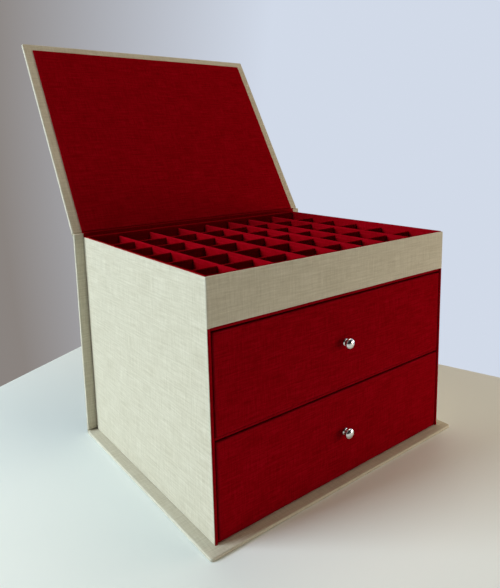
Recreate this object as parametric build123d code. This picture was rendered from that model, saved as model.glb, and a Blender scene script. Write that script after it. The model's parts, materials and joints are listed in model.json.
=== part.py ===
from build123d import *

import os
from math import cos, radians, sin

# Cloth-covered thread box: a drawer carcass with an open tray on top, standing in a book-style case
# of base, spine and lid boards. Millimetres, +X right, +Y back, +Z up, and the origin is the centre
# of the base board's underside. The lid stands open.

# The carcass, without the case boards round it
carcass_width = 300.0
carcass_depth = 243.5
carcass_height = 222.0  # from the base board's top face to the tops of the walls
tray_height = 40.5  # height of the front fascia, which is the tray's front
shelf_height = 88.6  # underside of the shelf, from the base board's top face

# The case
margin = 10.25  # how far the case boards stand out past the carcass
case_board = 3.2  # grey board with cloth glued on both faces
cloth = 0.5  # one cloth strip or turned-over edge
hinge_lap = 14.0  # how far a hinge cloth is glued on to each board
spine_clearance = 1.5  # crease between the base board and the spine board's foot
spine_rise = 3.4  # the spine board's head stands this far above the wall tops
hinge_cloth_drop = 0.6  # the lid's hinge cloth leaves the spine this far under the wall tops

# The lid, with lengths measured up the open lid from the carcass's rear top edge
lid_lean = 30.6  # open lid, degrees back from upright
lid_foot = 5.3
crease_depth = 0.3  # the hinge lining dips this far under the lid board's foot
lid_length = 253.5
lid_lining_foot = 6.2
lid_lining_length = 244.5
lid_lining_thickness = 1.2
lid_closed_gap = 0.3  # closed lid's lining above the wall tops
hinge_setback = 0.5  # hinge line behind the carcass's rear face

# Carcass boards and linings
wall = 3.0
lining = 0.5  # red cloth pasted on the insides
shelf_board = 3.0
shelf_recess = 1.0  # shelf, tray floor and carcass bottom stop this far behind the front
rear_groove = 2.0  # side walls below the tray stop this far short of the spine
side_linen_edge = 0.9  # linen left showing outside the red lip on the side walls' tops
front_linen_edge = 2.0
bay_linen_edge = 0.5
back_lip = 2.0  # red lip over the back wall, where the hinge lining takes over

# Egg-crate dividers
columns = 8
rows = 6
divider = 2.0
divider_end_gap = 0.25
slot_clearance = 0.2
long_divider_recess = 3.0  # tops of the front-to-back dividers, under the wall tops
cross_divider_recess = 4.5
long_divider_drift = (-0.75, 0.0, 1.25, 2.5, 0.25, -4.0, -1.25)  # handmade, off the even pitch

# Drawers
drawer_side_gap = 1.2
drawer_floor_gap = 0.2
drawer_top_gap = 1.0
drawer_rear_gap = 0.5
face_board = 3.2
box_board = 2.0
box_inset = 0.5  # drawer box narrower than its face, each side
box_drop = 1.0  # drawer box lower than its face
drawer_lining = 1.0

# Knob and its screw
knob_foot_radius = 3.4
knob_foot_height = 0.9
knob_neck_radius = 2.5
knob_neck_height = 3.0
knob_head_radius = 5.3
knob_widest_height = 5.8
knob_crown_radius = 0.6  # small flat at the middle of the head
knob_height = 8.9
screw_radius = 2.0
screw_reach = 5.0  # into the knob
screw_head_radius = 3.75
screw_head_height = 2.2
screw_slot = 1.0
washer_radius = 5.0
washer_thickness = 0.8
bore_clearance = 0.05
board_hole_clearance = 0.2

# Places worked out from the sizes above
base_width = carcass_width + 2 * margin
base_depth = margin + carcass_depth + case_board
front = margin - base_depth / 2
rear = front + carcass_depth
floor = case_board
top = floor + carcass_height
tray_floor_top = top - tray_height
outer_x = carcass_width / 2
wall_inner_x = outer_x - wall
bay_x = wall_inner_x - lining
wall_top = top - cloth
back_inner = rear - wall
tray_front = front + wall + lining
tray_back = back_inner - lining
cell_floor = tray_floor_top + lining

lean = radians(lid_lean)
hinge_y = rear + hinge_setback
hinge_rise = (lid_closed_gap + hinge_setback * cos(lean)) / (1 + sin(lean))
hinge_z = top + hinge_rise
hinge_reach = hinge_setback * sin(lean) + hinge_rise * cos(lean)


def block(x, y, z):
    """A board given by its (low, high) on each axis."""
    size = Box(x[1] - x[0], y[1] - y[0], z[1] - z[0])
    return Pos((x[0] + x[1]) / 2, (y[0] + y[1]) / 2, (z[0] + z[1]) / 2) * size


def across(half):
    return (-half, half)


def side_profile(points, low, high):
    """A (y, z) outline drawn out from x = low to x = high."""
    face = make_face(Polyline(*points, close=True))
    return Pos(low, 0, 0) * extrude(Plane.YZ * face, amount=high - low)


def bent_strip(points, half_width):
    """Cloth of one thickness whose one face follows the (y, z) points, on their left."""
    path = Polyline(*points)
    outline = offset(path, cloth, kind=Kind.INTERSECTION, side=Side.LEFT)
    face = make_face(outline.edges())
    return extrude(Plane.YZ * face, amount=half_width, both=True)


def open_lid(shape):
    """Turns a shape drawn on the closed lid back about the hinge line."""
    axis = Axis((0, hinge_y, hinge_z), (1, 0, 0))
    return shape.rotate(axis, -(90 + lid_lean))


def closed_y(length):
    """Where a length up the open lid lies when the lid is closed."""
    return hinge_y + hinge_reach - length


def lid_point(length, behind):
    """(y, z) at a length up the open lid, and so far behind its lining's face."""
    y = rear + length * sin(lean) + behind * cos(lean)
    z = top + length * cos(lean) - behind * sin(lean)
    return (y, z)


def case_parts():
    half = base_width / 2
    base_back = rear + case_board
    cloth_back = base_back - cloth
    spine_foot = floor + spine_clearance
    spine_head = top + spine_rise
    lap_low = top - hinge_cloth_drop - hinge_lap

    base = block(across(half), (front - margin, cloth_back), (0, floor))
    base -= block(across(half), (base_back - hinge_lap, base_back), (0, cloth))

    spine = block(across(half), (rear, base_back), (spine_foot, spine_head))
    spine -= block(across(half), (cloth_back, base_back), (spine_foot, spine_foot + hinge_lap))
    spine -= block(across(half), (cloth_back, base_back), (lap_low, spine_head))

    base_hinge = block(across(half), (base_back - hinge_lap, base_back), (0, cloth))
    base_hinge += block(across(half), (cloth_back, base_back), (cloth, spine_foot + hinge_lap))

    return {"base_board": base, "spine_board": spine, "base_hinge_cloth": base_hinge}


def lid_parts():
    half = base_width / 2
    face_z = top + lid_closed_gap
    board_z = face_z + lid_lining_thickness
    outer_z = board_z + case_board

    board = block(across(half), (closed_y(lid_length), closed_y(lid_foot)), (board_z, outer_z))
    lapped = (closed_y(lid_foot + hinge_lap), closed_y(lid_foot))
    board -= block(across(half), lapped, (outer_z - cloth, outer_z))

    panel_y = (closed_y(lid_lining_length), closed_y(lid_lining_foot))
    panel = block(across(outer_x), panel_y, (face_z, board_z))

    return {"lid_board": open_lid(board), "lid_lining": open_lid(panel)}


def lid_hinge_parts():
    """The cloths that bend at the lid's hinge line, as they lie with the lid open."""
    leaves_spine = top - hinge_cloth_drop
    outside = rear + case_board
    lid_outside = lid_lining_thickness + case_board
    outer_points = [
        (outside, leaves_spine - hinge_lap),
        (outside, leaves_spine),
        lid_point(lid_foot - cloth, lid_outside),
        lid_point(lid_foot + hinge_lap, lid_outside),
    ]
    outer = bent_strip(outer_points, base_width / 2)

    # over the back wall, up the spine's face, back over its head and up behind the lid's lining
    strip_behind = lid_lining_thickness - cloth
    crease = lid_point(lid_foot - crease_depth, strip_behind)
    inner_points = [
        (back_inner + back_lip - lining, top),
        (rear - cloth, top),
        (rear - cloth, crease[1]),
        crease,
        lid_point(lid_lining_foot, strip_behind),
    ]
    inner = bent_strip(inner_points[::-1], outer_x)

    return {"lid_hinge_cloth": outer, "lid_hinge_lining": inner}


def side_wall(low, high):
    points = [
        (front + cloth, floor),
        (rear - rear_groove, floor),
        (rear - rear_groove, tray_floor_top),
        (rear, tray_floor_top),
        (rear, wall_top),
        (front + wall, wall_top),
        (front + wall, tray_floor_top),
        (front + cloth, tray_floor_top),
    ]
    return side_profile(points, low, high)


def carcass_parts():
    shelf_y = (front + shelf_recess, back_inner)
    shelf_z = floor + shelf_height
    return {
        "left_wall": side_wall(-outer_x, -wall_inner_x),
        "right_wall": side_wall(wall_inner_x, outer_x),
        "back_wall": block(across(wall_inner_x), (back_inner, rear), (floor, wall_top)),
        "front_fascia": block(across(outer_x), (front, front + wall), (tray_floor_top, wall_top)),
        "carcass_bottom": block(across(bay_x), shelf_y, (floor, floor + shelf_board)),
        "middle_shelf": block(across(bay_x), shelf_y, (shelf_z, shelf_z + shelf_board)),
        "tray_floor": block(across(bay_x), shelf_y, (tray_floor_top - shelf_board, tray_floor_top)),
    }


def bay_lining(side):
    """Red lining of one drawer-bay wall, turned over the wall's front edge."""
    card = block((bay_x, wall_inner_x), (front, back_inner), (floor, tray_floor_top))
    lip_x = (wall_inner_x, outer_x - bay_linen_edge)
    card += block(lip_x, (front, front + cloth), (floor, tray_floor_top))
    return card if side > 0 else mirror(card, about=Plane.YZ)


def tray_side_lining(side):
    """Red lining of one tray side, turned over the wall's top."""
    along = (tray_front, tray_back)
    card = block((bay_x, wall_inner_x), along, (tray_floor_top, top))
    card += block((wall_inner_x, outer_x - side_linen_edge), along, (wall_top, top))
    return card if side > 0 else mirror(card, about=Plane.YZ)


def lining_parts():
    lip_x = across(outer_x - side_linen_edge)
    front_lining = block(across(wall_inner_x), (front + wall, tray_front), (tray_floor_top, top))
    front_lining += block(lip_x, (front + front_linen_edge, tray_front), (wall_top, top))
    back_lining = block(across(wall_inner_x), (tray_back, back_inner), (tray_floor_top, top))
    back_lining += block(lip_x, (tray_back, tray_back + back_lip), (wall_top, top))
    return {
        "bay_lining_left": bay_lining(-1),
        "bay_lining_right": bay_lining(1),
        "tray_lining_left": tray_side_lining(-1),
        "tray_lining_right": tray_side_lining(1),
        "tray_lining_front": front_lining,
        "tray_lining_back": back_lining,
        "tray_lining_floor": block(across(bay_x), (tray_front, tray_back), (tray_floor_top, cell_floor)),
    }


def divider_parts():
    """Slotted cards that halve into each other: long ones run front to back, cross ones side to side."""
    column_pitch = 2 * bay_x / columns
    row_pitch = (tray_back - tray_front) / rows
    long_x = [-bay_x + (i + 1) * column_pitch + drift for i, drift in enumerate(long_divider_drift)]
    cross_y = [tray_front + (j + 1) * row_pitch for j in range(rows - 1)]
    long_top = top - long_divider_recess
    cross_top = top - cross_divider_recess
    middle = (cell_floor + cross_top) / 2
    half = divider / 2
    slot = half + slot_clearance / 2

    parts = {}
    for i, x in enumerate(long_x):
        along = (tray_front + divider_end_gap, tray_back - divider_end_gap)
        card = block((x - half, x + half), along, (cell_floor, long_top))
        for y in cross_y:
            card -= block((x - half, x + half), (y - slot, y + slot), (cell_floor, middle))
        parts[f"long_divider_{i + 1}"] = card
    for j, y in enumerate(cross_y):
        along = across(bay_x - divider_end_gap)
        card = block(along, (y - half, y + half), (cell_floor, cross_top))
        for x in long_x:
            card -= block((x - slot, x + slot), (y - half, y + half), (middle, cross_top))
        parts[f"cross_divider_{j + 1}"] = card
    return parts


def facing_front(shape, z):
    """Moves a shape drawn along +Z from the origin on to the drawer face's centre, pointing at -Y."""
    return Pos(0, front, z) * Rot(90, 0, 0) * shape


def knob():
    head = Spline(
        (knob_neck_radius, knob_neck_height),
        (knob_head_radius, knob_widest_height),
        (knob_crown_radius, knob_height),
        tangents=((1, 0.3), (-1, 0)),
    )
    foot = Polyline(
        head @ 1,
        (0, knob_height),
        (0, 0),
        (knob_foot_radius, 0),
        (knob_foot_radius, knob_foot_height),
        (knob_neck_radius, knob_foot_height),
        head @ 0,
    )
    body = revolve(Plane.XZ * make_face(head.edges() + foot.edges()), Axis.Z)
    bore = Pos(0, 0, screw_reach / 2) * Cylinder(screw_radius + bore_clearance, screw_reach)
    return body - bore


def screw(washer_face):
    """Screw whose head sits on the washer, with z measured towards the knob."""
    shank_length = screw_reach - bore_clearance + washer_face
    shank = Pos(0, 0, shank_length / 2 - washer_face) * Cylinder(screw_radius, shank_length)
    head_middle = -washer_face - screw_head_height / 2
    head = Pos(0, 0, head_middle) * Cylinder(screw_head_radius, screw_head_height)
    head = fillet(head.edges().group_by(Axis.Z)[0], screw_head_height / 2)
    slot_middle = -washer_face - screw_head_height + screw_slot / 2
    slot = Pos(0, 0, slot_middle) * Box(2 * screw_head_radius, screw_slot, screw_slot)
    return shank + head - slot


def drawer_parts(name, low, high):
    """One drawer, from the underside to the top of its face."""
    face_x = bay_x - drawer_side_gap
    box_x = face_x - box_inset
    inner_x = box_x - box_board
    box_front = front + face_board
    box_inner = box_front + box_board
    back = back_inner - drawer_rear_gap
    box_top = high - box_drop
    inner_floor = low + box_board
    middle = (low + high) / 2
    washer_face = face_board + box_board + washer_thickness

    face = block(across(face_x), (front, box_front), (low, high))
    hole_depth = face_board + box_board
    hole = Cylinder(screw_radius + board_hole_clearance, 2 * hole_depth)
    hole = facing_front(hole, middle)
    ring = Cylinder(washer_radius, washer_thickness)
    ring -= Cylinder(screw_radius + board_hole_clearance, washer_thickness)
    ring = Pos(0, 0, washer_thickness / 2 - washer_face) * ring
    box_z = (low, box_top)
    inside_y = (box_inner, back - box_board)
    return {
        f"{name}_face": face - hole,
        f"{name}_box_front": block(across(inner_x), (box_front, box_inner), box_z) - hole,
        f"{name}_left_side": block((-box_x, -inner_x), (box_front, back), box_z),
        f"{name}_right_side": block((inner_x, box_x), (box_front, back), box_z),
        f"{name}_back": block(across(inner_x), (back - box_board, back), box_z),
        f"{name}_bottom": block(across(inner_x), inside_y, (low, inner_floor)),
        f"{name}_lining": block(across(inner_x), inside_y, (inner_floor, inner_floor + drawer_lining)),
        f"{name}_knob": facing_front(knob(), middle),
        f"{name}_knob_screw": facing_front(screw(washer_face), middle),
        f"{name}_knob_washer": facing_front(ring, middle),
    }


def all_parts():
    lower_low = floor + shelf_board + drawer_floor_gap
    lower_high = floor + shelf_height - drawer_top_gap
    upper_low = floor + shelf_height + shelf_board + drawer_floor_gap
    upper_high = tray_floor_top - shelf_board - drawer_top_gap
    parts = {}
    parts.update(case_parts())
    parts.update(lid_parts())
    parts.update(lid_hinge_parts())
    parts.update(carcass_parts())
    parts.update(lining_parts())
    parts.update(divider_parts())
    parts.update(drawer_parts("lower_drawer", lower_low, lower_high))
    parts.update(drawer_parts("upper_drawer", upper_low, upper_high))
    return parts


os.makedirs("parts", exist_ok=True)
for node, shape in all_parts().items():
    export_step(shape, f"parts/{node}.step")
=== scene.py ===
import json
import math
import random

import bmesh
import bpy
from mathutils import Matrix, Vector, noise


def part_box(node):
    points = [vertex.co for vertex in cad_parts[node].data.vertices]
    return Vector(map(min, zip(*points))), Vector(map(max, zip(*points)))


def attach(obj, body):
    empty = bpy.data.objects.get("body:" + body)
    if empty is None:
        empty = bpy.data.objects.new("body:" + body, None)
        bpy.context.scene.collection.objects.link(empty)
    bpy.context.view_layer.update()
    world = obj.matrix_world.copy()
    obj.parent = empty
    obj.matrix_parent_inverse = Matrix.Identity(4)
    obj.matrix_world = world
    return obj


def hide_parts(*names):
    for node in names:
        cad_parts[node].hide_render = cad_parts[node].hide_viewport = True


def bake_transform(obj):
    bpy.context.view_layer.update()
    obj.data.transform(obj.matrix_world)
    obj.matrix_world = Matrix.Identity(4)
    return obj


# Looks of the cloth-covered thread box. Places come from the frame's boxes, and sizes written here
# are millimetres times MM.

MM = 0.001
SEED = 7
noise.seed_set(SEED)  # left alone, noise_vector is offset by the clock and differs from run to run

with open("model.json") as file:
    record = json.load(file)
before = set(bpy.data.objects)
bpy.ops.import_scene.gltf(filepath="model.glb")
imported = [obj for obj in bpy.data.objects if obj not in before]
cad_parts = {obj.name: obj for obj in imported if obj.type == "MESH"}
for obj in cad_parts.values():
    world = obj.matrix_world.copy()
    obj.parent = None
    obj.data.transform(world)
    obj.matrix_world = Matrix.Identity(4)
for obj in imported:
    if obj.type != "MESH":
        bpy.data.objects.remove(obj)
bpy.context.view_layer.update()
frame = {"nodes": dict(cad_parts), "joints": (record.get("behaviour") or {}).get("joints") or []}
nodes = frame["nodes"]
scene = bpy.context.scene


# ---------------------------------------------------------------- camera

CAMERA_PLACE = Vector((-0.361628, -0.458531, 0.323045))
CAMERA_AZIMUTH = math.radians(-38.414)
CAMERA_ELEVATION = math.radians(9.237)
CAMERA_ROLL = math.radians(-1.034)
CAMERA_LENS = 33.902
CAMERA_SHIFT = (-0.02746, -0.10608)


def make_camera():
    flat = math.cos(CAMERA_ELEVATION)
    back = Vector((
        math.sin(CAMERA_AZIMUTH) * flat,
        -math.cos(CAMERA_AZIMUTH) * flat,
        math.sin(CAMERA_ELEVATION),
    ))
    side = Vector((0, 0, 1)).cross(back).normalized()
    over = back.cross(side)
    right = side * math.cos(CAMERA_ROLL) + over * math.sin(CAMERA_ROLL)
    up = over * math.cos(CAMERA_ROLL) - side * math.sin(CAMERA_ROLL)
    data = bpy.data.cameras.new("camera")
    data.lens = CAMERA_LENS
    data.shift_x, data.shift_y = CAMERA_SHIFT
    data.clip_start = 0.02
    data.clip_end = 30
    camera = bpy.data.objects.new("camera", data)
    turn = Matrix((right, up, back)).transposed().to_4x4()
    camera.matrix_world = Matrix.Translation(CAMERA_PLACE) @ turn
    scene.collection.objects.link(camera)
    scene.camera = camera


# ---------------------------------------------------------------- node materials


class Shader:
    """Builds one material out of nodes, with short calls for what the materials here share."""

    def __init__(self, name):
        self.material = bpy.data.materials.new(name)
        self.material.use_nodes = True
        self.tree = self.material.node_tree
        self.surface = self.tree.nodes["Principled BSDF"]

    def node(self, kind, **settings):
        made = self.tree.nodes.new(kind)
        for key, value in settings.items():
            setattr(made, key, value)
        return made

    def join(self, source, target):
        self.tree.links.new(source, target)

    def feed(self, socket, value):
        if isinstance(value, bpy.types.NodeSocket):
            self.join(value, socket)
        else:
            socket.default_value = value

    def math(self, operation, first, second=0.0):
        made = self.node("ShaderNodeMath", operation=operation)
        self.feed(made.inputs[0], first)
        self.feed(made.inputs[1], second)
        return made.outputs[0]

    def scaled(self, vector, factors):
        made = self.node("ShaderNodeVectorMath", operation="MULTIPLY")
        self.join(vector, made.inputs[0])
        made.inputs[1].default_value = factors
        return made.outputs[0]

    def noise(self, vector, scale=1.0, detail=2.0, rough=0.5):
        made = self.node("ShaderNodeTexNoise")
        self.join(vector, made.inputs["Vector"])
        made.inputs["Scale"].default_value = scale
        made.inputs["Detail"].default_value = detail
        made.inputs["Roughness"].default_value = rough
        return made.outputs["Fac"]

    def ramp(self, factor, stops):
        made = self.node("ShaderNodeValToRGB")
        self.join(factor, made.inputs[0])
        elements = made.color_ramp.elements
        while len(elements) < len(stops):
            elements.new(0.5)
        for element, (place, colour) in zip(elements, stops):
            element.position = place
            element.color = (*colour, 1)
        return made.outputs[0]

    def blend(self, factor, first, second):
        made = self.node("ShaderNodeMix", data_type="RGBA")
        self.feed(made.inputs[0], factor)
        self.feed(made.inputs[6], first if isinstance(first, bpy.types.NodeSocket) else (*first, 1))
        self.feed(made.inputs[7], second if isinstance(second, bpy.types.NodeSocket) else (*second, 1))
        return made.outputs[2]

    def span(self, value, low, high, new_low, new_high):
        made = self.node("ShaderNodeMapRange")
        self.join(value, made.inputs[0])
        for i, number in enumerate((low, high, new_low, new_high)):
            made.inputs[i + 1].default_value = number
        return made.outputs[0]

    def bump(self, height, distance, strength=1.0, normal=None):
        made = self.node("ShaderNodeBump")
        self.join(height, made.inputs["Height"])
        made.inputs["Distance"].default_value = distance
        made.inputs["Strength"].default_value = strength
        if normal is not None:
            self.join(normal, made.inputs["Normal"])
        return made.outputs[0]

    def set(self, **values):
        for key, value in values.items():
            self.feed(self.surface.inputs[key.replace("_", " ")], value)


def woven_cloth(name, pitch, shades, slub, streak, worn, relief, roughness, sheen, gloss):
    """A plain weave laid out in the UV map, which is in metres, with threads of uneven tint and width."""
    s = Shader(name)
    uv = s.node("ShaderNodeTexCoord").outputs["UV"]

    drift = s.node("ShaderNodeTexNoise")
    s.join(uv, drift.inputs["Vector"])
    drift.inputs["Scale"].default_value = 0.04 / pitch
    wander = s.node("ShaderNodeVectorMath", operation="MULTIPLY_ADD")
    s.join(drift.outputs["Color"], wander.inputs[0])
    wander.inputs[1].default_value = (2.5 * pitch, 2.5 * pitch, 0)
    s.join(uv, wander.inputs[2])
    laid = wander.outputs[0]

    split = s.node("ShaderNodeSeparateXYZ")
    s.join(laid, split.inputs[0])
    turn = 2 * math.pi / pitch
    across_threads = s.math("SINE", s.math("MULTIPLY", split.outputs["X"], turn))
    up_threads = s.math("SINE", s.math("MULTIPLY", split.outputs["Y"], turn))
    weave = s.math("MULTIPLY", across_threads, up_threads)

    warp = s.noise(s.scaled(laid, (2 / pitch, slub / pitch, 0)), detail=3)
    weft = s.noise(s.scaled(laid, (slub / pitch, 2 / pitch, 7)), detail=3)
    over = s.span(weave, -0.35, 0.35, 0, 1)
    thread = s.node("ShaderNodeMix", data_type="FLOAT")
    s.join(over, thread.inputs[0])
    s.join(warp, thread.inputs[2])
    s.join(weft, thread.inputs[3])
    upright = s.noise(s.scaled(laid, (1 / streak, 0.07 / streak, 3)), detail=2)
    level = s.noise(s.scaled(laid, (0.05 / streak, 1 / streak, 11)), detail=2)
    streaks = s.math("ADD", s.math("MULTIPLY", upright, 0.42), s.math("MULTIPLY", level, 0.58))
    cloudy = s.noise(uv, scale=28, detail=4, rough=0.6)
    fleck = s.noise(uv, scale=420, detail=2, rough=0.7)
    tone = s.math("ADD", s.math("MULTIPLY", thread.outputs[0], 0.34), s.math("MULTIPLY", streaks, 0.48))
    tone = s.math("ADD", tone, s.math("MULTIPLY", cloudy, 0.06))
    tone = s.math("ADD", tone, s.math("MULTIPLY", fleck, 0.12))
    colour = s.ramp(tone, [(0.32, shades[0]), (0.5, shades[1]), (0.68, shades[2])])

    wear = s.node("ShaderNodeAttribute", attribute_name="wear").outputs["Fac"]
    patchy = s.span(s.noise(uv, scale=90, detail=3), 0.35, 0.7, 0.15, 1)
    colour = s.blend(s.math("MULTIPLY", s.math("MULTIPLY", wear, patchy), worn[0]), colour, worn[1])

    height = s.math("ADD", s.math("MULTIPLY", weave, 0.5), s.math("MULTIPLY", thread.outputs[0], 1.1))
    height = s.math("ADD", height, s.math("MULTIPLY", streaks, 1.2))
    rub = s.bump(s.noise(uv, scale=55, detail=3), 0.35 * MM, 0.35)
    s.set(
        Base_Color=colour,
        Roughness=s.span(fleck, 0.3, 0.7, roughness - 0.06, roughness + 0.06),
        Normal=s.bump(height, relief, 0.55, rub),
        Sheen_Weight=sheen,
        Sheen_Roughness=0.5,
        Specular_IOR_Level=gloss,
    )
    return s.material


def linen_material():
    shades = ((0.45, 0.395, 0.28), (0.60, 0.545, 0.42), (0.75, 0.70, 0.57))
    return woven_cloth(
        "greige_linen", pitch=0.62 * MM, shades=shades, slub=0.035, streak=1.5 * MM,
        worn=(0.5, (0.74, 0.70, 0.60)), relief=0.16 * MM, roughness=0.86, sheen=0.05, gloss=0.2,
    )


def crimson_material():
    shades = ((0.125, 0.0004, 0.001), (0.26, 0.0008, 0.004), (0.425, 0.003, 0.015))
    return woven_cloth(
        "crimson_cloth", pitch=0.42 * MM, shades=shades, slub=0.06, streak=1.2 * MM,
        worn=(0.35, (0.42, 0.006, 0.02)), relief=0.09 * MM, roughness=0.80, sheen=0.0, gloss=0.0,
    )


def chrome_material():
    s = Shader("chrome")
    where = s.node("ShaderNodeTexCoord").outputs["Object"]
    smear = s.noise(where, scale=420, detail=3, rough=0.6)
    fine = s.noise(where, scale=2600, detail=2)
    s.set(
        Base_Color=s.ramp(smear, [(0.3, (0.70, 0.71, 0.73)), (0.7, (0.86, 0.86, 0.85))]),
        Metallic=1.0,
        Roughness=s.span(smear, 0.35, 0.75, 0.05, 0.16),
        Normal=s.bump(fine, 0.01 * MM, 0.25),
    )
    return s.material


def zinc_material():
    s = Shader("zinc_steel")
    where = s.node("ShaderNodeTexCoord").outputs["Object"]
    cloud = s.noise(where, scale=260, detail=4, rough=0.6)
    turned = s.noise(s.scaled(where, (3000, 60, 3000)), detail=1)
    s.set(
        Base_Color=s.ramp(cloud, [(0.3, (0.50, 0.50, 0.49)), (0.7, (0.68, 0.68, 0.66))]),
        Metallic=1.0,
        Roughness=s.span(cloud, 0.3, 0.7, 0.26, 0.42),
        Normal=s.bump(turned, 0.02 * MM, 0.4),
    )
    return s.material


# ---------------------------------------------------------------- mesh helpers

WAVE_LENGTH = 70 * MM
WAVE_HEIGHT = 0.16 * MM


def handmade(point):
    """The slight waviness of pasted cloth over board, the same for every piece at one place."""
    return point + noise.noise_vector(point / WAVE_LENGTH) * WAVE_HEIGHT


def stations(low, high, radius, step, extra=()):
    """Grid lines along one side of a board: close together at its rounded ends, then even."""
    bend = [radius * (1 - math.tan(math.radians(a))) for a in (45, 30, 15, 0)]
    ends = bend + [radius + 1.2 * MM, radius + 3.5 * MM]
    half = (high - low) / 2
    ends = [e for e in ends if e < half - 0.05 * MM]
    inner_low, inner_high = low + ends[-1], high - ends[-1]
    count = max(1, math.ceil((inner_high - inner_low) / step))
    middle = [inner_low + (inner_high - inner_low) * i / count for i in range(1, count)]
    lines = [low + e for e in ends] + middle + [high - e for e in reversed(ends)]
    wanted = [place for place in extra if low < place < high]
    kept = [x for x in lines if x in (low, high) or all(abs(x - place) > 0.15 * MM for place in wanted)]
    return sorted(set(kept + wanted))


def surface_grid(lines):
    """Quads over the six sides of a box, given its grid lines on each axis."""
    top = [len(line) - 1 for line in lines]
    corner = {}
    quads = []
    for axis in range(3):
        a, b = [(1, 2), (2, 0), (0, 1)][axis]
        for end in (0, top[axis]):
            for i in range(top[a]):
                for j in range(top[b]):
                    ring = []
                    for di, dj in ((0, 0), (1, 0), (1, 1), (0, 1)):
                        key = [0, 0, 0]
                        key[axis], key[a], key[b] = end, i + di, j + dj
                        ring.append(tuple(key))
                    quads.append(ring if end else ring[::-1])
                    for key in ring:
                        corner.setdefault(key, Vector([lines[k][key[k]] for k in range(3)]))
    return corner, quads


def rounded(point, low, high, radius, sharp):
    """Moves a point of a box's surface on to the same box with rounded edges."""
    nearest = Vector(point)
    for k in range(3):
        least = low[k] if (k, 0) in sharp else low[k] + radius
        most = high[k] if (k, 1) in sharp else high[k] - radius
        nearest[k] = min(max(point[k], least), most)
    away = point - nearest
    return nearest + away.normalized() * radius if away.length > 1e-9 else point


def round_corner(point, low, high, plane, radius):
    """Rounds a board's four corners as seen square on, as cloth folded over them does."""
    centre = [min(max(point[k], low[k] + radius), high[k] - radius) for k in plane]
    away = Vector([point[k] - c for k, c in zip(plane, centre)])
    if away.length < 1e-9:
        return point
    away *= max(abs(away.x), abs(away.y)) / away.length
    moved = Vector(point)
    for k, c, shift in zip(plane, centre, away):
        moved[k] = c + shift
    return moved


def edge_distance(point, low, high, sharp):
    gaps = []
    for k in range(3):
        near = [abs(point[k] - side) for end, side in enumerate((low[k], high[k])) if (k, end) not in sharp]
        gaps.append(min(near) if near else 1.0)
    return sorted(gaps)[1]


WEAR_REACH = 1.4 * MM


def lay_cloth_uv(mesh):
    """UVs in metres on each face's main plane, so a weave keeps its true scale."""
    uv = mesh.uv_layers.new(name="cloth")
    for face in mesh.polygons:
        n = [abs(c) for c in face.normal]
        axis = n.index(max(n))
        a, b = [(1, 2), (0, 2), (0, 1)][axis]
        for loop in face.loop_indices:
            co = mesh.vertices[mesh.loops[loop].vertex_index].co
            uv.data[loop].uv = (co[a], co[b])


def finish_piece(name, mesh, material, body, replaced, smooth_angle=50):
    piece = bpy.data.objects.new(name, mesh)
    scene.collection.objects.link(piece)
    mesh.materials.append(materials[material])
    mesh.polygons.foreach_set("use_smooth", [True] * len(mesh.polygons))
    mesh.set_sharp_from_angle(angle=math.radians(smooth_angle))
    if replaced:
        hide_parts(*replaced)
    if body:
        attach(piece, body)
    return piece


def board(name, low, high, material, body, replaced=(), radius=0.7 * MM, step=11 * MM,
          sharp=(), extra=((), (), ()), corner=None, shape=None, place=None):
    """A cloth-covered board: a box of quads with rounded edges, slightly wavy."""
    radius = min(radius, *((high[k] - low[k]) * 0.46 for k in range(3)))
    lines = [stations(low[k], high[k], radius, step, extra[k]) for k in range(3)]
    corners, quads = surface_grid(lines)
    mesh = bpy.data.meshes.new(name)
    work = bmesh.new()
    wear = work.verts.layers.float.new("wear")
    verts = {}
    for key, point in corners.items():
        moved = rounded(point, low, high, radius, sharp)
        if corner:
            moved = round_corner(moved, low, high, *corner)
        if shape:
            moved = shape(moved)
        if place:
            moved = place @ moved
        verts[key] = work.verts.new(handmade(moved))
        verts[key][wear] = math.exp(-edge_distance(point, low, high, sharp) / WEAR_REACH)
    for ring in quads:
        work.faces.new([verts[key] for key in ring])
    bmesh.ops.remove_doubles(work, verts=work.verts, dist=0.002 * MM)
    bmesh.ops.dissolve_degenerate(work, edges=work.edges, dist=0.002 * MM)
    bmesh.ops.recalc_face_normals(work, faces=work.faces)
    work.to_mesh(mesh)
    work.free()
    lay_cloth_uv(mesh)
    return finish_piece(name, mesh, material, body, replaced)


def box_board(node, material, body, **options):
    """A board in the place of one box-shaped CAD node."""
    low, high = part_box(node)
    return board(node + "_cloth", low, high, material, body, replaced=(node,), **options)


def arc_outline(corners, radius_segments=4):
    """A closed 2D outline from (a, b, radius) corners, with its round corners as arcs."""
    points = []
    count = len(corners)
    for i, (a, b, r) in enumerate(corners):
        here = Vector((a, b))
        before = (Vector(corners[i - 1][:2]) - here).normalized()
        after = (Vector(corners[(i + 1) % count][:2]) - here).normalized()
        if r <= 0:
            points.append(here)
            continue
        half = math.acos(max(-1, min(1, before.dot(after)))) / 2
        reach = r / math.tan(half)
        centre = here + (before + after).normalized() * (r / math.sin(half))
        start = here + before * reach - centre
        end = here + after * reach - centre
        turn = start.angle_signed(end)
        for step in range(radius_segments + 1):
            points.append(centre + Matrix.Rotation(-turn * step / radius_segments, 2) @ start)
    return points


def outline_normals(points):
    """Outward 2D normals of a closed outline that runs anticlockwise."""
    normals = []
    for i, here in enumerate(points):
        back = (here - points[i - 1]).normalized()
        ahead = (points[(i + 1) % len(points)] - here).normalized()
        along = back + ahead
        normals.append(Vector((along.y, -along.x)).normalized())
    return normals


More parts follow.
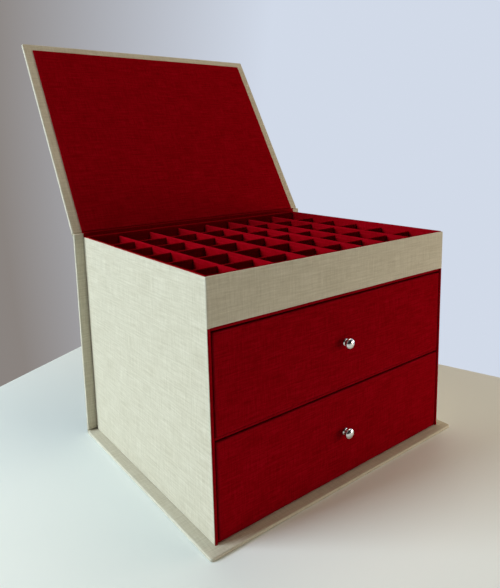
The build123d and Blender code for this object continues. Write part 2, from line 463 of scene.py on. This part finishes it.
def swept(name, outline, axis, low, high, material, body, replaced=(), round_end=0.4 * MM,
          step=9 * MM, smooth_angle=50):
    """A strip: a 2D outline carried along one axis, with slightly rounded ends."""
    area = sum(p.x * q.y - q.x * p.y for p, q in zip(outline, outline[1:] + outline[:1]))
    if area < 0:
        outline = outline[::-1]
    normals = outline_normals(outline)
    rings = [(low + round_end * (1 - math.sin(t)), round_end * (1 - math.cos(t)))
             for t in (math.pi / 2, math.pi / 4, 0)]
    count = max(1, math.ceil((high - low - 2 * round_end) / step))
    span = high - low - 2 * round_end
    rings += [(low + round_end + span * i / count, 0) for i in range(1, count)]
    rings += [(high - (t - low), inset) for t, inset in reversed(rings[:3])]
    a, b = [(1, 2), (0, 2), (0, 1)][axis]
    around = [0.0]
    for p, q in zip(outline, outline[1:] + outline[:1]):
        around.append(around[-1] + (q - p).length)

    mesh = bpy.data.meshes.new(name)
    work = bmesh.new()
    wear = work.verts.layers.float.new("wear")
    uv = work.loops.layers.uv.new("cloth")
    loops = []
    for t, inset in rings:
        loop = []
        for point, normal in zip(outline, normals):
            co = Vector((0, 0, 0))
            co[axis] = t
            co[a], co[b] = point - normal * inset
            vert = work.verts.new(handmade(co))
            vert[wear] = 0.05 + 0.5 * math.exp(-min(t - low, high - t) / WEAR_REACH)
            loop.append(vert)
        loops.append(loop)
    n = len(outline)
    for k in range(len(loops) - 1):
        for i in range(n):
            j = (i + 1) % n
            face = work.faces.new((loops[k][i], loops[k][j], loops[k + 1][j], loops[k + 1][i]))
            spots = ((around[i], rings[k][0]), (around[i + 1], rings[k][0]),
                     (around[i + 1], rings[k + 1][0]), (around[i], rings[k + 1][0]))
            for corner, spot in zip(face.loops, spots):
                corner[uv].uv = spot
    for loop in (loops[0], loops[-1]):
        face = work.faces.new(loop)
        for corner, point in zip(face.loops, outline):
            corner[uv].uv = point
    bmesh.ops.recalc_face_normals(work, faces=work.faces)
    work.to_mesh(mesh)
    work.free()
    return finish_piece(name, mesh, material, body, replaced, smooth_angle)


def ribbon(path, thickness):
    """Closed outline of cloth of one thickness, whose one face follows the path's left side."""
    normals = []
    for i, here in enumerate(path):
        back = (here - path[i - 1]).normalized() if i else None
        ahead = (path[i + 1] - here).normalized() if i + 1 < len(path) else None
        along = (back or ahead) + (ahead or back)
        side = Vector((-along.y, along.x)).normalized()
        turn = (back or ahead).dot(ahead or back)
        normals.append(side / max(0.5, math.sqrt((1 + turn) / 2)))
    return list(path) + [p + n * thickness for p, n in reversed(list(zip(path, normals)))]


def smooth_path(points, radius, step):
    """An open path with its inner corners rounded and its runs divided."""
    bent = [Vector(points[0])]
    for i in range(1, len(points) - 1):
        here = Vector(points[i])
        before = (Vector(points[i - 1]) - here)
        after = (Vector(points[i + 1]) - here)
        reach = min(radius, before.length * 0.48, after.length * 0.48)
        start, end = here + before.normalized() * reach, here + after.normalized() * reach
        for k in range(9):
            t = k / 8
            bent.append(start * (1 - t) ** 2 + here * 2 * t * (1 - t) + end * t * t)
    bent.append(Vector(points[-1]))
    path = [bent[0]]
    for p, q in zip(bent, bent[1:]):
        count = max(1, math.ceil((q - p).length / step))
        path += [p.lerp(q, k / count) for k in range(1, count + 1)]
    return path


def lathe(name, profile, centre, material, body, replaced=(), segments=56):
    """A turned piece whose axis points at -Y from its centre, from (radius, height) points."""
    mesh = bpy.data.meshes.new(name)
    work = bmesh.new()
    rings = []
    for radius, height in profile:
        if radius < 1e-7:
            rings.append([work.verts.new(centre + Vector((0, -height, 0)))])
            continue
        ring = []
        for i in range(segments):
            t = 2 * math.pi * i / segments
            spot = Vector((radius * math.cos(t), -height, radius * math.sin(t)))
            ring.append(work.verts.new(centre + spot))
        rings.append(ring)
    for lower, upper in zip(rings, rings[1:]):
        for i in range(segments):
            j = (i + 1) % segments
            face = [lower[i % len(lower)], lower[j % len(lower)]]
            face += [upper[j % len(upper)], upper[i % len(upper)]]
            work.faces.new(list(dict.fromkeys(face)))
    bmesh.ops.recalc_face_normals(work, faces=work.faces)
    work.to_mesh(mesh)
    work.free()
    return finish_piece(name, mesh, material, body, replaced, smooth_angle=40)


# ---------------------------------------------------------------- places taken from the frame

hinge = next(j for j in frame["joints"] if j["name"] == "lid_hinge")
LEAN = math.radians(hinge["range_deg"][1] - 90)
wall_low, wall_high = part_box("left_wall")
fascia_low, fascia_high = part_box("front_fascia")
back_low, back_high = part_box("back_wall")
spine_low, spine_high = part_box("spine_board")
base_low, base_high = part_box("base_board")

FRONT = fascia_low.y
REAR = back_high.y
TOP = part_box("tray_lining_left")[1].z
FLOOR = wall_low.z
TRAY_FLOOR = fascia_low.z
OUTER_X = -wall_low.x
WALL_INNER_X = -wall_high.x
CLOTH = TOP - wall_high.z
LID_LINING = 1.2 * MM
LID_BOARD = 3.2 * MM
LID_FOOT = 5.3 * MM
LID_LENGTH = 253.5 * MM
CREASE = 0.3 * MM
PANEL_FOOT = 6.2 * MM
PANEL_LENGTH = 244.5 * MM
HINGE_LAP = 14 * MM


def lid_place(length, behind):
    """(y, z) at a length up the open lid from the carcass's rear top edge, and so far behind its face."""
    return Vector((
        REAR + length * math.sin(LEAN) + behind * math.cos(LEAN),
        TOP + length * math.cos(LEAN) - behind * math.sin(LEAN),
    ))


def lid_frame():
    """Takes (x, length up the lid, height in front of the red face) to its place on the open lid."""
    along = Vector((0, math.sin(LEAN), math.cos(LEAN)))
    ahead = Vector((0, -math.cos(LEAN), math.sin(LEAN)))
    turn = Matrix((Vector((1, 0, 0)), along, ahead)).transposed().to_4x4()
    return Matrix.Translation((0, REAR, TOP)) @ turn


# ---------------------------------------------------------------- the case


def base_piece():
    """Base board, thinner underneath where the hinge cloth is let in at its back."""
    cloth_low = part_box("base_hinge_cloth")[0]
    edge = cloth_low.y

    def shape(p):
        if p.y > edge and p.z < cloth_low.z + CLOTH:
            return Vector((p.x, p.y, cloth_low.z + CLOTH))
        return p

    extra = ((), (edge - 0.05 * MM, edge + 0.05 * MM), (CLOTH,))
    board("base_board_cloth", base_low, base_high, "greige_linen", "carcass", ("base_board",),
          radius=0.9 * MM, extra=extra, corner=((0, 1), 2.2 * MM), shape=shape)


def spine_piece():
    """Spine board with the hinge cloths let in at its head and foot."""
    foot, head = spine_low.z + HINGE_LAP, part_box("lid_hinge_cloth")[0].z
    thickness = spine_high.y - spine_low.y

    def shape(p):
        if foot < p.z < head:
            return p
        depth = (p.y - spine_low.y) / thickness
        return Vector((p.x, spine_low.y + depth * (thickness - CLOTH), p.z))

    tiny = 0.06 * MM
    extra = ((), (), (foot, foot + tiny, head - tiny, head))
    board("spine_board_cloth", spine_low, spine_high, "greige_linen", "carcass", ("spine_board",),
          radius=0.8 * MM, extra=extra, corner=((0, 2), 1.2 * MM), shape=shape)


def base_hinge_piece():
    low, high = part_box("base_hinge_cloth")
    path = [(low.y, low.z), (high.y, low.z), (high.y, high.z)]
    outline = ribbon(smooth_path(path, 2.2 * MM, 4 * MM), CLOTH)
    swept("base_hinge_linen", outline, 0, low.x, high.x, "greige_linen", "carcass", ("base_hinge_cloth",),
          round_end=0.15 * MM)


def lid_pieces():
    place = lid_frame()
    half = base_high.x
    outer = -(LID_LINING + LID_BOARD)

    def shape(p):
        if p.y > LID_FOOT + HINGE_LAP:
            return p
        depth = (-LID_LINING - p.z) / LID_BOARD
        return Vector((p.x, p.y, -LID_LINING - depth * (LID_BOARD - CLOTH)))

    lap = LID_FOOT + HINGE_LAP
    extra = ((), (lap, lap + 0.06 * MM), ())
    board("lid_board_cloth", Vector((-half, LID_FOOT, outer)), Vector((half, LID_LENGTH, -LID_LINING)),
          "greige_linen", "lid", ("lid_board",), radius=0.9 * MM, extra=extra, corner=((0, 1), 1.8 * MM),
          shape=shape, place=place)
    low = Vector((-OUTER_X, PANEL_FOOT, -LID_LINING))
    high = Vector((OUTER_X, PANEL_LENGTH, 0))
    board("lid_lining_panel", low, high, "crimson_cloth", "lid", ("lid_lining",),
          radius=0.5 * MM, place=place)


def hinge_cloth_pieces():
    """The hinge cloths, shaped for the open lid: linen outside, linen tabs turned in at both ends, and red
    inside.
    """
    half = base_high.x
    outside = spine_high.y
    lap_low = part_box("lid_hinge_cloth")[0].z
    leaves_spine = lap_low + HINGE_LAP
    shell = LID_LINING + LID_BOARD
    end = lid_place(LID_FOOT - CLOTH, shell)
    lap_end = lid_place(LID_FOOT + HINGE_LAP, shell)
    path = [(outside, lap_low), (outside, leaves_spine), tuple(end), tuple(lap_end)]
    outline = ribbon(smooth_path(path, 1.6 * MM, 0.5 * MM), CLOTH)
    piece = swept("lid_hinge_linen", outline, 0, -half, half, "greige_linen", None,
                  ("lid_hinge_cloth",), round_end=0.15 * MM, smooth_angle=60)
    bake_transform(piece)

    # over the back wall, up the spine's face, back over its head and up behind the lid's panel
    behind = LID_LINING - CLOTH
    crease = lid_place(LID_FOOT - CREASE, behind)
    face = REAR - CLOTH
    inner_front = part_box("lid_hinge_lining")[0].y
    brow = (face, crease.y + 0.6 * MM)
    path = [tuple(lid_place(PANEL_FOOT, behind)), tuple(crease), brow, (face, TOP), (inner_front, TOP)]
    outline = ribbon(smooth_path(path, 0.6 * MM, 0.5 * MM), CLOTH)
    piece = swept("lid_hinge_red", outline, 0, -OUTER_X, OUTER_X, "crimson_cloth", None,
                  ("lid_hinge_lining",), round_end=0.15 * MM, smooth_angle=60)
    end = lid_place(LID_FOOT, behind)
    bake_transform(piece)

    # the turned-in linen that closes the crease at each margin
    head = spine_high.z + 0.06 * MM
    end = lid_place(LID_FOOT + 0.3 * MM, LID_LINING + 1.8 * MM)
    path = [tuple(end), (REAR + 2.9 * MM, head), (REAR + 0.8 * MM, head)]
    outline = ribbon(smooth_path(path, 0.8 * MM, 0.4 * MM), 0.3 * MM)
    inner = OUTER_X + 0.4 * MM
    for side, (low, high) in (("left", (-half, -inner)), ("right", (inner, half))):
        piece = swept(f"lid_hinge_turn_in_{side}", outline, 0, low, high, "greige_linen", None,
                      round_end=0.1 * MM, smooth_angle=60)
        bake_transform(piece)


# ---------------------------------------------------------------- carcass and its linings


def wall_piece(side):
    """Side wall: it stops short of the spine below the tray, and behind the red lip at its front."""
    name = "right" if side > 0 else "left"
    low = Vector((WALL_INNER_X if side > 0 else -OUTER_X, FRONT, FLOOR))
    high = Vector((OUTER_X if side > 0 else -WALL_INNER_X, REAR, TOP - CLOTH))
    groove = 2.0 * MM

    def shape(p):
        y = p.y
        if p.z < TRAY_FLOOR:
            y = min(y, REAR - groove)
            y = max(y, FRONT + CLOTH)
        return Vector((p.x, y, p.z))

    tiny = 0.05 * MM
    extra = ((), (), (TRAY_FLOOR - tiny, TRAY_FLOOR + tiny))
    inner_side = (0, 0) if side > 0 else (0, 1)
    board(f"{name}_wall_linen", low, high, "greige_linen", "carcass", (f"{name}_wall",),
          radius=1.0 * MM, extra=extra, shape=shape, sharp=(inner_side,))


def fascia_piece():
    low = Vector((-WALL_INNER_X, FRONT, TRAY_FLOOR))
    high = Vector((WALL_INNER_X, fascia_high.y, TOP - CLOTH))
    board("front_fascia_linen", low, high, "greige_linen", "carcass", ("front_fascia",),
          radius=0.9 * MM, sharp=((0, 0), (0, 1)))


def lip_pieces():
    """Red lips over the tray walls' tops and over the side walls' front edges, one with their linings."""
    for side, name in ((-1, "left"), (1, "right")):
        low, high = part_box(f"tray_lining_{name}")
        edge = max(abs(low.x), abs(high.x))
        inner = min(abs(low.x), abs(high.x))
        outline = arc_outline([
            (side * inner, low.z, 0),
            (side * WALL_INNER_X, low.z, 0),
            (side * WALL_INNER_X, TOP - CLOTH, 0),
            (side * edge, TOP - CLOTH, 0),
            (side * edge, TOP, 0.3 * MM),
            (side * inner, TOP, 0.7 * MM),
        ])
        swept(f"tray_lining_{name}_cloth", outline, 1, low.y, high.y, "crimson_cloth", "carcass",
              (f"tray_lining_{name}",), round_end=0.1 * MM)

        low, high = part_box(f"bay_lining_{name}")
        edge = max(abs(low.x), abs(high.x))
        inner = min(abs(low.x), abs(high.x))
        outline = arc_outline([
            (side * inner, high.y, 0),
            (side * WALL_INNER_X, high.y, 0),
            (side * WALL_INNER_X, FRONT + CLOTH, 0),
            (side * edge, FRONT + CLOTH, 0),
            (side * edge, FRONT, 0.45 * MM),
            (side * inner, FRONT, 1.3 * MM),
        ])
        swept(f"bay_lining_{name}_cloth", outline, 2, low.z, high.z, "crimson_cloth", "carcass",
              (f"bay_lining_{name}",), round_end=0.1 * MM)

    low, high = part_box("tray_lining_front")
    wall_face = fascia_high.y
    outline = arc_outline([
        (high.y, low.z, 0),
        (wall_face, low.z, 0),
        (wall_face, TOP - CLOTH, 0),
        (low.y, TOP - CLOTH, 0),
        (low.y, TOP, 0.3 * MM),
        (high.y, TOP, 0.7 * MM),
    ])
    swept("tray_lining_front_cloth", outline, 0, low.x, high.x, "crimson_cloth", "carcass",
          ("tray_lining_front",), round_end=0.1 * MM)

    low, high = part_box("tray_lining_back")
    wall_face = back_low.y
    outline = arc_outline([
        (low.y, low.z, 0),
        (wall_face, low.z, 0),
        (wall_face, TOP - CLOTH, 0),
        (high.y, TOP - CLOTH, 0),
        (high.y, TOP, 0.2 * MM),
        (low.y, TOP, 0.7 * MM),
    ])
    swept("tray_lining_back_cloth", outline, 0, low.x, high.x, "crimson_cloth", "carcass",
          ("tray_lining_back",), round_end=0.1 * MM)


def divider_pieces():
    """Slotted cards of the tray, each with its own slight bow between the crossings."""
    chance = random.Random(SEED)
    long_names = sorted(n for n in nodes if n.startswith("long_divider"))
    cross_names = sorted(n for n in nodes if n.startswith("cross_divider"))
    long_x = [sum(corner.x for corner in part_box(n)) / 2 for n in long_names]
    cross_y = [sum(corner.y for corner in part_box(n)) / 2 for n in cross_names]
    cell_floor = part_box(long_names[0])[0].z
    cross_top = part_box(cross_names[0])[1].z
    middle = (cell_floor + cross_top) / 2
    half_slot = 1.1 * MM
    tiny = 0.03 * MM

    for names, along, places in ((long_names, 1, cross_y), (cross_names, 0, long_x)):
        for name in names:
            low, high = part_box(name)
            bow = chance.uniform(-0.35, 0.35) * MM
            slots = []
            for place in places:
                slots += [place - half_slot - tiny, place - half_slot]
                slots += [place + half_slot, place + half_slot + tiny]

            def shape(p, low=low, high=high, bow=bow, along=along, places=places):
                moved = Vector(p)
                for place in places:
                    if abs(p[along] - place) < half_slot + tiny / 2:
                        moved.z = max(p.z, middle) if along == 1 else min(p.z, middle)
                t = (p[along] - low[along]) / (high[along] - low[along])
                rise = (p.z - low.z) / (high.z - low.z)
                moved[1 - along] += bow * math.sin(math.pi * t) * rise
                return moved

            extra = [(), (), (middle,)]
            extra[along] = slots
            board(f"{name}_card", low, high, "crimson_cloth", "carcass", (name,), radius=0.8 * MM,
                  step=9 * MM, extra=extra, shape=shape, sharp=((2, 0),))


def carcass_pieces():
    for side in (-1, 1):
        wall_piece(side)
    fascia_piece()
    lip_pieces()
    box_board("back_wall", "crimson_cloth", "carcass", radius=0.5 * MM)
    box_board("tray_lining_floor", "crimson_cloth", "carcass", radius=0.3 * MM, step=16 * MM)
    for node in ("carcass_bottom", "middle_shelf", "tray_floor"):
        box_board(node, "crimson_cloth", "carcass", radius=1.4 * MM, step=16 * MM)
    divider_pieces()


# ---------------------------------------------------------------- drawers


def drawer_pieces(name):
    box_board(f"{name}_face", "crimson_cloth", name, radius=1.4 * MM)
    for part in ("box_front", "left_side", "right_side", "back", "bottom"):
        box_board(f"{name}_{part}", "crimson_cloth", name, radius=0.6 * MM, step=16 * MM)
    box_board(f"{name}_lining", "crimson_cloth", name, radius=0.4 * MM, step=16 * MM)
    knob_piece(name)
    for part in ("knob_screw", "knob_washer"):
        metal = nodes[f"{name}_{part}"]
        metal.data.materials.clear()
        metal.data.materials.append(materials["zinc_steel"])


def knob_piece(name):
    """Small turned knob: thin foot flange, waisted neck and a flattened ball."""
    low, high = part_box(f"{name}_knob")
    centre = Vector(((low.x + high.x) / 2, high.y, (low.z + high.z) / 2))
    head, neck, foot = 5.3 * MM, 2.5 * MM, 3.4 * MM
    bore, depth = 2.05 * MM, 5.0 * MM
    widest, crown = 5.8 * MM, high.y - low.y
    profile = [(0, depth), (bore, depth), (bore, 0), (foot - 0.15 * MM, 0), (foot, 0.15 * MM),
               (foot, 0.6 * MM), (foot - 0.3 * MM, 0.9 * MM), (neck + 0.35 * MM, 1.05 * MM),
               (neck + 0.05 * MM, 1.5 * MM), (neck, 2.1 * MM), (neck + 0.12 * MM, 2.6 * MM)]
    under = 2.9 * MM
    for i in range(11):
        t = math.pi / 2 * i / 10
        radius = head - (head - neck - 0.3 * MM) * math.cos(t) ** 1.6
        profile.append((radius, under + (widest - under) * math.sin(t)))
    for i in range(1, 17):
        t = math.pi / 2 * i / 16
        profile.append((head * math.cos(t) if i < 16 else 0, widest + (crown - widest) * math.sin(t)))
    lathe(f"{name}_knob_turned", profile, centre, "chrome", name, (f"{name}_knob",))


# ---------------------------------------------------------------- floor, backdrop and light


def plain_surface(name, colour, variation, rough):
    s = Shader(name)
    where = s.node("ShaderNodeTexCoord").outputs["Object"]
    cloud = s.noise(where, scale=3, detail=3)
    low = tuple(c * (1 - variation) for c in colour)
    high = tuple(min(1, c * (1 + variation)) for c in colour)
    s.set(Base_Color=s.ramp(cloud, [(0.3, low), (0.7, high)]), Roughness=rough)
    return s.material


def stage_plane(name, corners, material):
    mesh = bpy.data.meshes.new(name)
    mesh.from_pydata(corners, [], [(0, 1, 2, 3)])
    plane = bpy.data.objects.new(name, mesh)
    mesh.materials.append(material)
    scene.collection.objects.link(plane)


TABLE_CORNER = Vector((0.154, 0.525, 0))
TABLE_LEFT = Vector((-0.361, -0.199, 0))
TABLE_RIGHT = Vector((0.152, -0.545, 0))


def make_stage():
    """A pale table top whose two far edges meet behind the box. Past it is the plain world."""
    pale = plain_surface("pale_floor", (0.88, 0.91, 0.88), 0.015, 0.6)
    left = TABLE_CORNER + TABLE_LEFT * 9
    right = TABLE_CORNER + TABLE_RIGHT * 8
    stage_plane("floor", [TABLE_CORNER, left, (left.x, right.y, 0), right], pale)


def area_light(name, place, target, size, power, colour):
    data = bpy.data.lights.new(name, "AREA")
    data.shape = "RECTANGLE"
    data.size, data.size_y = size
    data.energy = power
    data.color = colour
    lamp = bpy.data.objects.new(name, data)
    lamp.location = place
    lamp.rotation_euler = (Vector(target) - Vector(place)).to_track_quat("-Z", "Y").to_euler()
    scene.collection.objects.link(lamp)


def make_light():
    """Window light from the left, a soft warm light overhead, and a pale bounce from the right."""
    world = bpy.data.worlds.new("studio")
    scene.world = world
    world.use_nodes = True
    tree = world.node_tree
    dim = tree.nodes["Background"]
    dim.inputs["Color"].default_value = (1.0, 0.88, 0.70, 1)
    dim.inputs["Strength"].default_value = 0.03
    shown = tree.nodes.new("ShaderNodeBackground")
    where = tree.nodes.new("ShaderNodeTexCoord").outputs["Generated"]
    split = tree.nodes.new("ShaderNodeSeparateXYZ")
    tree.links.new(where, split.inputs[0])
    shade = tree.nodes.new("ShaderNodeValToRGB")
    tree.links.new(split.outputs["X"], shade.inputs[0])
    shade.color_ramp.elements[0].position = 0.22
    shade.color_ramp.elements[0].color = (0.25, 0.225, 0.21, 1)
    shade.color_ramp.elements[1].position = 0.62
    shade.color_ramp.elements[1].color = (0.64, 0.70, 0.81, 1)
    path = tree.nodes.new("ShaderNodeLightPath")

    # glossy rays see these same surroundings behind the box, but a darker room in front of it
    towards_back = tree.nodes.new("ShaderNodeMapRange")
    tree.links.new(split.outputs["Y"], towards_back.inputs[0])
    for i, number in enumerate((-0.75, -0.15, 0.06, 1.0)):
        towards_back.inputs[i + 1].default_value = number
    room = tree.nodes.new("ShaderNodeVectorMath")
    room.operation = "SCALE"
    tree.links.new(shade.outputs[0], room.inputs[0])
    tree.links.new(towards_back.outputs[0], room.inputs["Scale"])
    mirrored = tree.nodes.new("ShaderNodeMix")
    mirrored.data_type = "RGBA"
    tree.links.new(path.outputs["Is Glossy Ray"], mirrored.inputs[0])
    tree.links.new(shade.outputs[0], mirrored.inputs[6])
    tree.links.new(room.outputs[0], mirrored.inputs[7])
    tree.links.new(mirrored.outputs[2], shown.inputs["Color"])
    seen = tree.nodes.new("ShaderNodeMath")
    seen.operation = "ADD"
    tree.links.new(path.outputs["Is Camera Ray"], seen.inputs[0])
    tree.links.new(path.outputs["Is Glossy Ray"], seen.inputs[1])
    choose = tree.nodes.new("ShaderNodeMixShader")
    tree.links.new(seen.outputs[0], choose.inputs[0])
    tree.links.new(dim.outputs[0], choose.inputs[1])
    tree.links.new(shown.outputs[0], choose.inputs[2])
    tree.links.new(choose.outputs[0], tree.nodes["World Output"].inputs["Surface"])

    target = (0, 0, 0.14)
    area_light("window", (-1.59, 0.58, 0.85), target, (0.9, 0.9), 41, (0.79, 0.92, 1.0))
    area_light("overhead", (0.55, 0.05, 1.80), target, (1.2, 1.0), 12, (1.0, 0.85, 0.66))
    area_light("right_bounce", (0.80, -0.66, 0.14), target, (0.7, 0.24), 5, (1.0, 0.90, 0.77))


# ---------------------------------------------------------------- assembly

materials = {
    "greige_linen": linen_material(),
    "crimson_cloth": crimson_material(),
    "chrome": chrome_material(),
    "zinc_steel": zinc_material(),
}

make_camera()
make_stage()
make_light()
base_piece()
spine_piece()
base_hinge_piece()
lid_pieces()
hinge_cloth_pieces()
carcass_pieces()
for drawer in ("lower_drawer", "upper_drawer"):
    drawer_pieces(drawer)

scene.view_settings.view_transform = "Standard"
